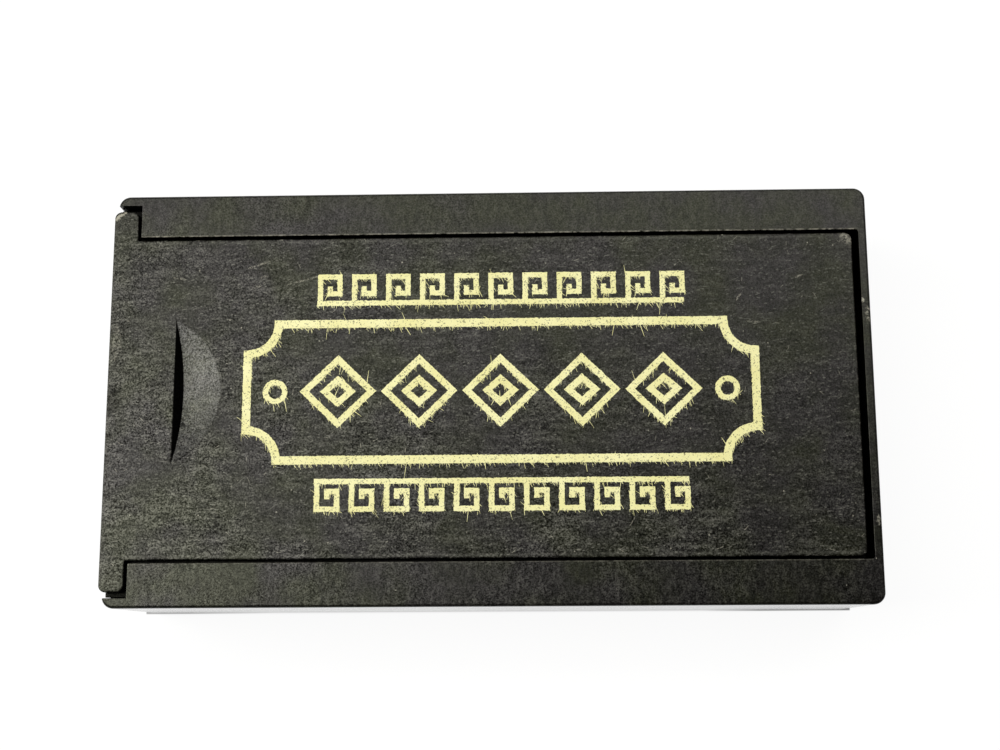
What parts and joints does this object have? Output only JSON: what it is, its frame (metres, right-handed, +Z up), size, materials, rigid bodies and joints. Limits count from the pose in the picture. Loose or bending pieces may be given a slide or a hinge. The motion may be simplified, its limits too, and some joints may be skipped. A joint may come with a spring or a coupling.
{
  "type": "magnetic key box",
  "caption": "Flat black plastic box that holds a spare key, with a sliding lid under two lips, a thumb scoop, a T-shaped end and a block magnet in its underside.",
  "frame": {"origin": "centre of the magnet's bare face, which is the lowest face of the box", "axes": "+X along the box away from the thumb end, +Y across it, +Z up through the lid"},
  "size_m": [0.0756, 0.0412, 0.017],
  "materials": {
    "case_plastic": "satin",
    "lid_plastic": "matte",
    "ferrite": "satin",
    "glue": "satin"
  },
  "bodies": {
    "case": {"case": "case_plastic", "magnet": "ferrite", "glue": "glue"},
    "lid": {"lid": "lid_plastic"}
  },
  "joints": [
    {"name": "lid_slide", "type": "slide", "parent": "case", "child": "lid", "axis": [-1, 0, 0], "range_m": [0, 0.075]}
  ]
}
